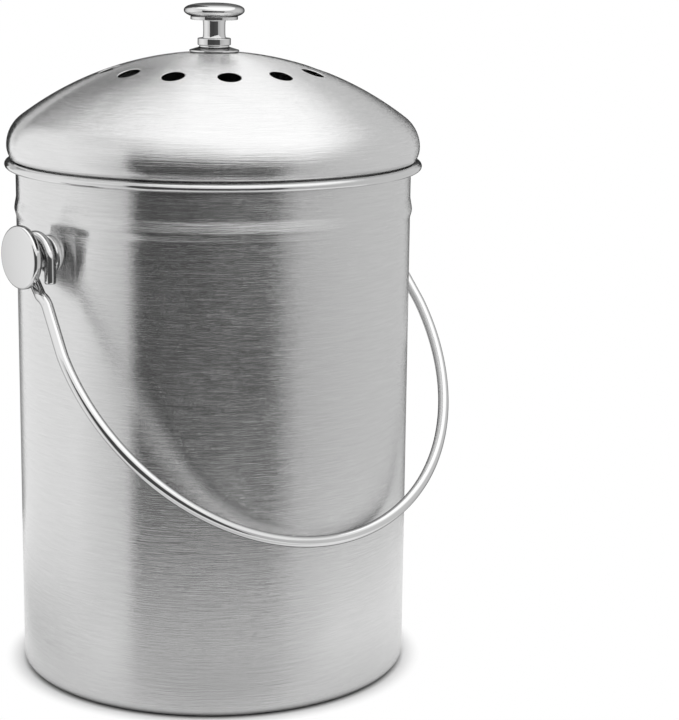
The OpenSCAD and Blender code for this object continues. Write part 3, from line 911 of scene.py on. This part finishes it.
def charcoal_felt(name):
    """Charcoal filter felt: short matted fibres with dull grains."""
    material, tree, shader = new_material(name)
    place = add(tree, "TexCoord").outputs["Object"]
    wander = add(tree, "TexNoise", {"Vector": place, "Scale": 220.0, "Detail": 2.0}).outputs["Color"]
    bent = vector_node(tree, "MULTIPLY_ADD", wander, (0.01, 0.01, 0.004), place)
    matted = {"Vector": bent, "Scale": 1500.0, "Detail": 3.0, "Distortion": 1.5}
    fibres = add(tree, "TexNoise", matted).outputs[0]
    grains = add(tree, "TexVoronoi", {"Vector": place, "Scale": 900.0}).outputs["Distance"]
    colour = blend_tones(tree, fibres, (0.004, 0.004, 0.004), (0.035, 0.035, 0.036))
    tree.links.new(colour, shader.inputs["Base Color"])
    tree.links.new(map_node(tree, grains, 0.0, 0.6, 0.75, 0.98), shader.inputs["Roughness"])
    shader.inputs["Specular IOR Level"].default_value = 0.2
    shader.inputs["Sheen Weight"].default_value = 0.1
    bump_node(tree, shader, fibres, 1.0, 0.0003)
    return material


# ---------------------------------------------------------------- camera, studio and floor
CAMERA_PLACE = Vector((-0.5517, -0.7061, 0.3268))
CAMERA_HEADING = math.radians(41.536)
CAMERA_PITCH = math.radians(12.129)
CAMERA_ROLL = math.radians(0.745)
CAMERA_LENS = 103.72
FRONT = math.radians(38)


def build_camera():
    """Looks slightly down at the bin, which stands left of the middle of the view."""
    level = math.cos(CAMERA_PITCH)
    forward = Vector((
        math.sin(CAMERA_HEADING) * level, math.cos(CAMERA_HEADING) * level, -math.sin(CAMERA_PITCH)))
    flat = Vector((math.cos(CAMERA_HEADING), -math.sin(CAMERA_HEADING), 0))
    upward = flat.cross(forward)
    right = flat * math.cos(CAMERA_ROLL) + upward * math.sin(CAMERA_ROLL)
    up = upward * math.cos(CAMERA_ROLL) - flat * math.sin(CAMERA_ROLL)
    data = bpy.data.cameras.new("camera")
    data.lens = CAMERA_LENS
    data.clip_start, data.clip_end = 0.05, 20
    camera = bpy.data.objects.new("camera", data)
    turn = Matrix((right, up, -forward)).transposed().to_4x4()
    camera.matrix_world = Matrix.Translation(CAMERA_PLACE) @ turn
    SCENE.collection.objects.link(camera)
    SCENE.camera = camera


def background_rays(tree):
    """1 for rays that show the background: straight from a camera, or by way of metal or glass."""
    path = add(tree, "LightPath").outputs
    seen = math_node(tree, "MAXIMUM", path["Is Camera Ray"], path["Is Glossy Ray"])
    return math_node(tree, "MAXIMUM", seen, path["Is Transmission Ray"])


STUDIO_Z = 0.15

# Cloths and screens round the table: how far away they stand, the directions of their two sides in
# degrees to the right of the front, the height of the foot and of the head at each side in degrees
# above the horizon, and the level at each side
STUDIO_CARDS = [
    ("front_cloth_left", 2, -47, 0, -60, 27, 17, 0.07, 0.065),
    ("front_cloth_right", 2, 0, 40, -60, 16, 10, 0.075, 0.095),
    ("right_screen_near", 2, 40, 72, -60, 8, 20, 0.5, 0.65),
    ("right_screen_middle", 2, 72, 110, -60, 24, 42, 0.67, 0.72),
    ("right_screen_far", 2, 110, 135, -60, 46, 50, 0.72, 0.7),
    ("right_screen_end", 2, 135, 157, -60, 48, 50, 0.7, 0.68),
    ("rear_right_low", 2, 157, 180, -60, -8, -8, 0.16, 0.2),
    ("rear_left_low", 2, 180, 209, -60, -8, -8, 0.25, 0.42),
    ("rear_band", 2, 157, 209, -8, 12, 12, 0.04, 0.04),
    ("rear_right_high", 2, 157, 173, 12, 40, 38, 0.64, 0.66),
    ("rear_middle_high", 2, 173, 185.5, 12, 46, 46, 1.15, 1.15),
    ("rear_left_middle", 2, 185.5, 212, 12, 22, 22, 0.45, 0.65),
    ("rear_left_flag", 1.2, 185.5, 213, 22, 51, 51, 0.22, 0.18),
    ("left_screen_far", 2, 212, 222, 4, 60, 60, 0.6, 0.6),
    ("left_screen_high", 2, 222, 313, 42, 66, 66, 0.66, 0.76),
    ("left_screen_near", 2, 275, 313, -60, 12, 20, 1.0, 0.64),
]

SOFTBOX_WIDTH = 1.9
SOFTBOX_LENGTH = 3.7
SOFTBOX_MIDDLE = (0.48, -0.13, 1.6)
SOFTBOX_TURN = math.radians(30)
SOFTBOX_LEVEL = 1.36


def studio_point(away, degrees, rise):
    """A point of the studio, by its distance, its direction from the front and its rise."""
    a = math.radians(degrees) - FRONT
    height = STUDIO_Z + away * math.tan(math.radians(rise))
    return Vector((away * math.sin(a), -away * math.cos(a), height))


def lit_panel(name, points, faces, levels):
    """A panel of plain light, with a level at each point; the camera itself doesn't see it."""
    mesh = bpy.data.meshes.new(name)
    mesh.from_pydata(points, [], faces)
    mesh.attributes.new("level", "FLOAT", "POINT").data.foreach_set("value", levels)
    mesh.materials.append(bpy.data.materials["studio_panel"])
    panel = bpy.data.objects.new(name, mesh)
    panel.visible_camera = False
    SCENE.collection.objects.link(panel)


def build_card(name, away, start, end, foot, head_start, head_end, level_start, level_end):
    """A card bent round the table, with a fold every 3 degrees or so."""
    steps = max(2, round((end - start) / 3))
    points, levels = [], []
    for i in range(steps + 1):
        share = i / steps
        degrees = start + (end - start) * share
        points.append(studio_point(away, degrees, foot))
        points.append(studio_point(away, degrees, head_start + (head_end - head_start) * share))
        levels += [level_start + (level_end - level_start) * share] * 2
    faces = [(2 * i, 2 * i + 2, 2 * i + 3, 2 * i + 1) for i in range(steps)]
    lit_panel(name, points, faces, levels)


def build_softbox():
    """A flat light above the table."""
    x, y = SOFTBOX_WIDTH / 2, SOFTBOX_LENGTH / 2
    place = Matrix.Rotation(-FRONT, 4, "Z") @ Matrix.Translation(SOFTBOX_MIDDLE)
    place = place @ Matrix.Rotation(SOFTBOX_TURN, 4, "Z")
    points = [place @ Vector(corner) for corner in ((-x, -y, 0), (-x, y, 0), (x, y, 0), (x, -y, 0))]
    lit_panel("main_softbox", points, [(0, 1, 2, 3)], [SOFTBOX_LEVEL] * 4)


def build_studio():
    """A white world, a soft box overhead, and the cards that the metal mirrors."""
    world = bpy.data.worlds.new("white_studio")
    SCENE.world = world
    world.use_nodes = True
    background = world.node_tree.nodes["Background"]
    background.inputs["Color"].default_value = (1, 1, 1, 1)
    background.inputs["Strength"].default_value = 1.0

    material = bpy.data.materials.new("studio_panel")
    material.use_nodes = True
    material.cycles.emission_sampling = "NONE"
    tree = material.node_tree
    tree.nodes.clear()
    level = add(tree, "Attribute", attribute_name="level").outputs["Fac"]
    light = add(tree, "Emission", {"Color": (1, 1, 1, 1), "Strength": level})
    output = add(tree, "OutputMaterial")
    tree.links.new(light.outputs[0], output.inputs["Surface"])
    for card in STUDIO_CARDS:
        build_card(*card)
    build_softbox()


# The table's colours beside the bin, under it and at its greyest, and where they change: under the bin a
# painted contact shadow, and painted shade on the two greyer sides, which lie ahead of the bin and to its
# left, from so far to so far from the axis, where the foot of the wall mirrors the table
FLOOR_R = 0.25
FLOOR_WHITE = 0.9
FLOOR_PAINTED_SHADOW = 0.1
FLOOR_PAINTED_SHADE = 0.62
FLOOR_RINGS = 12
FLOOR_SEGMENTS = 96
FLOOR_DROP = 0.05 * MM
CONTACT_R = BODY_R - 1 * MM
CLEAR_R = BODY_R + 9 * MM
GREY_AHEAD = (BODY_R + 1 * MM, BODY_R + 32 * MM)
GREY_ASIDE = (BODY_R + 12 * MM, BODY_R + 43 * MM)
GREY_TURN = math.radians(84.6)
GREY_R = (0.115, 0.24)


def build_floor():
    """A pale table top that keeps the bin's shadow, white round the bin, with a painted contact shadow under
    it and painted shade that makes it softly greyer in front.
    """
    bm = bmesh.new()
    radii = [FLOOR_R * i / FLOOR_RINGS for i in range(FLOOR_RINGS + 1)]
    add_rings(bm, [ring(r, 0, FLOOR_SEGMENTS) for r in radii], False)
    floor = finished("floor", bm)
    floor.location.z = -FLOOR_DROP
    material = bpy.data.materials.new("white_table")
    material.use_nodes = True
    tree = material.node_tree
    tree.nodes.clear()
    place = add(tree, "TexCoord").outputs["Object"]
    reach = vector_node(tree, "LENGTH", place, output="Value")
    fade = map_node(tree, reach, CONTACT_R, CLEAR_R, 0.0, 1.0, smooth=True)
    share = math_node(tree, "MULTIPLY", background_rays(tree), fade)
    plain = []
    # Painted shade: the floor turns greyer ahead of the bin and to its left, so that the foot of the wall
    # mirrors a darker floor
    for limits, turn in ((GREY_AHEAD, FRONT), (GREY_ASIDE, FRONT + GREY_TURN)):
        direction = (-math.sin(turn), -math.cos(turn), 0)
        ahead = vector_node(tree, "DOT_PRODUCT", place, direction, output="Value")
        plain.append(map_node(tree, ahead, *limits, 1.0, 0.0, smooth=True))
    near = math_node(tree, "SUBTRACT", 1.0, math_node(tree, "MULTIPLY", *plain))
    inside = map_node(tree, reach, *GREY_R, FLOOR_PAINTED_SHADE - 1, 0.0, smooth=True)
    level = math_node(tree, "MULTIPLY_ADD", near, inside, 1.0)
    # Painted contact shadow: the floor's colour darkens under the bin's rounded foot
    under = map_node(tree, reach, BODY_R - BASE_CORNER_R, BODY_R + 1 * MM, FLOOR_PAINTED_SHADOW, FLOOR_WHITE)
    colour = math_node(tree, "MULTIPLY", level, under)
    matt = add(tree, "BsdfDiffuse", {"Color": colour})
    white = add(tree, "Emission", {"Color": (1, 1, 1, 1), "Strength": level})
    mix = add(tree, "MixShader", {0: share, 1: matt.outputs[0], 2: white.outputs[0]})
    output = add(tree, "OutputMaterial")
    tree.links.new(mix.outputs[0], output.inputs["Surface"])
    floor.data.materials.append(material)


# ---------------------------------------------------------------- putting it together
build_camera()
build_studio()
build_floor()

ROUND_COORDS = make_round_coords()
BRUSH_LINES = make_brush_lines(ROUND_COORDS)
HANDLING_MARKS = make_handling_marks()

MATERIALS = {
    "bin_steel": brushed_steel(
        "bin_brushed_steel", grey=0.69, rough=0.19, lines_depth=0.00011, fine=2800.0, length=6.0, wall=True),
    "lid_steel": brushed_steel(
        "lid_spun_steel", grey=0.74, rough=0.2, lines_depth=0.00012, fine=2400.0, length=4.0),
    "pan_steel": brushed_steel(
        "pan_spun_steel", grey=0.62, rough=0.25, lines_depth=0.00003, fine=2400.0, length=16.0),
    "polished_fittings": polished_steel("polished_fittings_steel", grey=0.77, rough=0.03),
    "bail_wire": polished_steel("bright_drawn_wire", grey=0.77, rough=0.05),
    "fasteners": machined_steel("machined_fasteners", grey=0.6, rough=0.3),
    "filter_foam": open_foam("filter_foam_black"),
    "filter_charcoal": charcoal_felt("filter_charcoal_felt"),
}


def place_piece(piece, body, slot, node):
    """Gives a piece its finish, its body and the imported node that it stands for."""
    piece.data.materials.append(MATERIALS[slot])
    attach(piece, body)
    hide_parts(node)


place_piece(build_bin(), "bin", "bin_steel", "bin_body")
for side_name, side_sign in (("left", -1), ("right", 1)):
    for part, build in (
        ("flange", build_post_flange),
        ("stem", build_post_stem),
        ("plate", build_post_plate),
        ("cap", build_post_cap),
    ):
        made_piece = build(f"{side_name}_{part}_polished", side_sign)
        place_piece(made_piece, "bin", "polished_fittings", f"{side_name}_post_{part}")
place_piece(build_bail(), "bail", "bail_wire", "bail_handle")
place_piece(build_dome(), "lid", "lid_steel", "lid_dome")
place_piece(build_pan(), "lid", "pan_steel", "lid_pan")
place_piece(build_knob_flange(), "lid", "polished_fittings", "knob_flange")
place_piece(build_knob_stem(), "lid", "polished_fittings", "knob_stem")
place_piece(build_knob_plate(), "lid", "polished_fittings", "knob_plate")
place_piece(build_knob_cap(), "lid", "polished_fittings", "knob_cap")
foam = build_filter("foam_pad", "filter_foam", edge=1.2 * MM, grain=0.25 * MM, lumps=120)
felt = build_filter("charcoal_pad", "filter_charcoal", edge=1.6 * MM, grain=0.5 * MM, lumps=70)
place_piece(foam, "lid", "filter_foam", "filter_foam")
place_piece(felt, "lid", "filter_charcoal", "filter_charcoal")

for node_name, node_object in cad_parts.items():
    if "screw" in node_name or "washer" in node_name:
        node_object.data.materials.clear()
        node_object.data.materials.append(MATERIALS["fasteners"])
